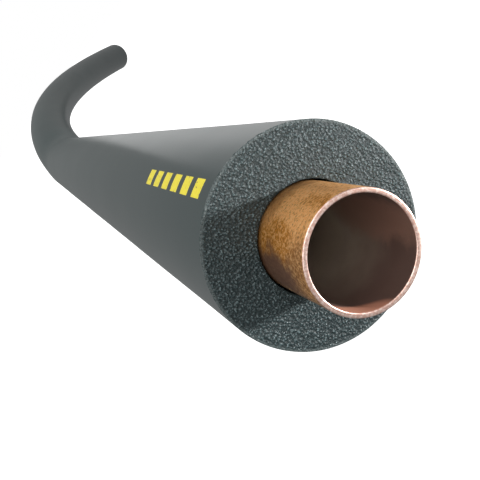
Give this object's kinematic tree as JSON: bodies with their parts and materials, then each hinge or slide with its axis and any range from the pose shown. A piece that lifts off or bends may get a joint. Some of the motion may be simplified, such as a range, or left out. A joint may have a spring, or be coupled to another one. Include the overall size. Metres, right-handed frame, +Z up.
{
  "type": "pipe insulation lagging",
  "caption": "Foam tube lagging on the copper pipe it insulates, square cut, with a long sweep, for heating and cooling pipework.",
  "frame": {"origin": "on the floor, below the middle of the bounding box of the lagging and its pipe", "axes": "+Y runs back along the straight front run, the sweep then turns towards +X, +Z is up"},
  "size_m": [0.4234, 1.9876, 0.1319],
  "materials": {
    "foam": "satin closed-cell foam, cells open on the cut ends",
    "copper": "tarnished copper tube, bright at the cut ends"
  },
  "bodies": {
    "root": {"lagging": "foam", "copper_pipe": "copper"}
  },
  "joints": []
}
